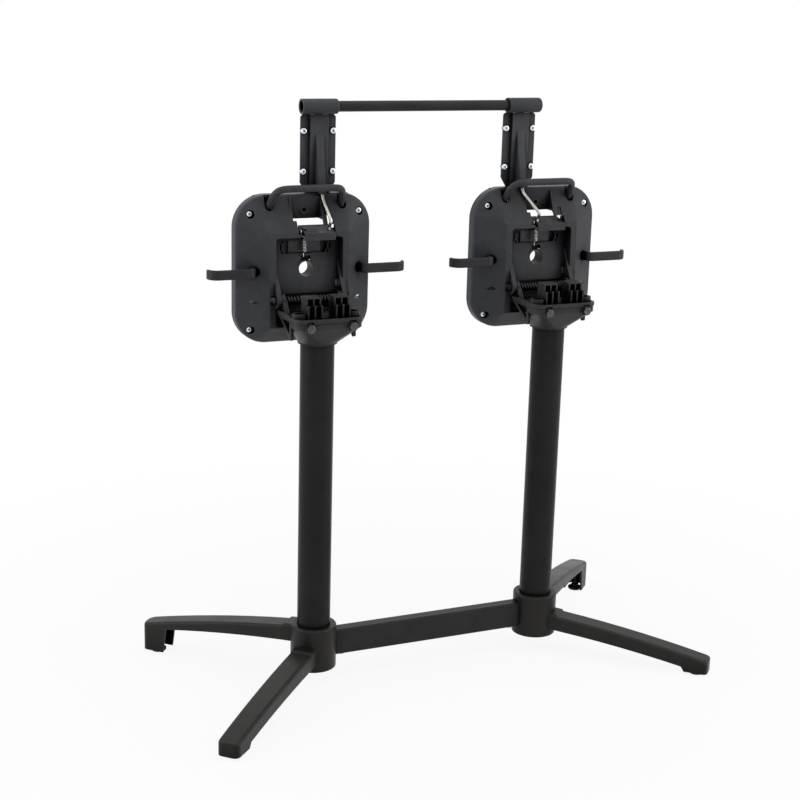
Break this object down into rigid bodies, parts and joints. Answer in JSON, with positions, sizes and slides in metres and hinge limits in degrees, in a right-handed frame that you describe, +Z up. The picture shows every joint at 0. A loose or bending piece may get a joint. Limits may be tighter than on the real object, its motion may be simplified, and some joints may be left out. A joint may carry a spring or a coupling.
{
  "type": "flip-top table base",
  "caption": "Twin-column base for a tilting table top, with low splayed legs, spring-latched tilt plates, a pull release bar and bag hooks, in its stored position.",
  "frame": {"origin": "on the floor, midway between the two columns", "axes": "+X along the row of columns to the right, -Y towards the side with the latches, +Z up"},
  "size_m": [0.916, 0.481, 0.9921],
  "materials": {
    "casting_paint": "black powder coat with a fine texture",
    "tube_paint": "satin black powder coat",
    "frame_plastic": "glass-filled nylon, fine matt grain",
    "hook_plastic": "moulded nylon, satin",
    "zinc": "bright zinc plate",
    "bare_steel": "drawn steel wire",
    "blued_steel": "oil-blacked steel",
    "pad_nylon": "black nylon"
  },
  "bodies": {
    "root": {"foot_casting_left": "casting_paint", "foot_casting_right": "casting_paint", "crossbar": "tube_paint", "crossbar_screws": "zinc", "column_left": "tube_paint", "column_right": "tube_paint", "column_plugs": "blued_steel", "tie_bolts": "zinc", "tie_washers": "zinc", "column_head_left": "frame_plastic", "column_head_right": "frame_plastic", "head_bolts": "blued_steel", "head_nuts": "zinc", "hinge_pin_left": "bare_steel", "hinge_pin_right": "bare_steel", "torsion_spring_left": "blued_steel", "torsion_spring_right": "blued_steel"},
    "foot_front_left": {"foot_pad_front_left": "pad_nylon"},
    "foot_front_right": {"foot_pad_front_right": "pad_nylon"},
    "foot_rear_left": {"foot_pad_rear_left": "pad_nylon"},
    "foot_rear_right": {"foot_pad_rear_right": "pad_nylon"},
    "table_frame": {"tilt_plate_left": "frame_plastic", "tilt_plate_right": "frame_plastic", "plate_screws_left": "zinc", "plate_screws_right": "zinc", "bag_hooks_left": "hook_plastic", "bag_hooks_right": "hook_plastic", "arm_cover_left": "frame_plastic", "arm_cover_right": "frame_plastic", "arm_screws_left": "zinc", "arm_screws_right": "zinc", "latch_spring_left": "zinc", "latch_spring_right": "zinc"},
    "release": {"release_tube": "tube_paint", "sleeve_left": "frame_plastic", "sleeve_right": "frame_plastic", "pull_strip_left": "bare_steel", "pull_strip_right": "bare_steel", "pull_rod_left": "bare_steel", "pull_rod_right": "bare_steel"},
    "latch_left": {"latch_carriage_left": "frame_plastic", "latch_bar_left": "blued_steel", "u_handle_left": "frame_plastic"},
    "latch_right": {"latch_carriage_right": "frame_plastic", "latch_bar_right": "blued_steel", "u_handle_right": "frame_plastic"}
  },
  "joints": [
    {"name": "table_tilt", "type": "hinge", "parent": "root", "child": "table_frame", "pos_m": [0, 0.034, 0.668], "axis": [1, 0, 0], "range_deg": [0, 90]},
    {"name": "release_pull", "type": "slide", "parent": "table_frame", "child": "release", "axis": [0, 0, 1], "range_m": [0, 0.006], "stiffness_N_per_m": 500, "springref_m": -0.006},
    {"name": "latch_left_pull", "type": "slide", "parent": "table_frame", "child": "latch_left", "axis": [0, 0, 1], "range_m": [0, 0.006], "deforming": ["latch_spring_left"]},
    {"name": "latch_right_pull", "type": "slide", "parent": "table_frame", "child": "latch_right", "axis": [0, 0, 1], "range_m": [0, 0.006], "deforming": ["latch_spring_right"]},
    {"name": "level_front_left", "type": "slide", "parent": "root", "child": "foot_front_left", "axis": [0, 0, -1], "range_m": [0, 0.01]},
    {"name": "level_front_right", "type": "slide", "parent": "root", "child": "foot_front_right", "axis": [0, 0, -1], "range_m": [0, 0.01]},
    {"name": "level_rear_left", "type": "slide", "parent": "root", "child": "foot_rear_left", "axis": [0, 0, -1], "range_m": [0, 0.01]},
    {"name": "level_rear_right", "type": "slide", "parent": "root", "child": "foot_rear_right", "axis": [0, 0, -1], "range_m": [0, 0.01]}
  ],
  "couplings": [
    {"joint": "latch_left_pull", "follows": "release_pull", "ratio": 1},
    {"joint": "latch_right_pull", "follows": "release_pull", "ratio": 1}
  ]
}
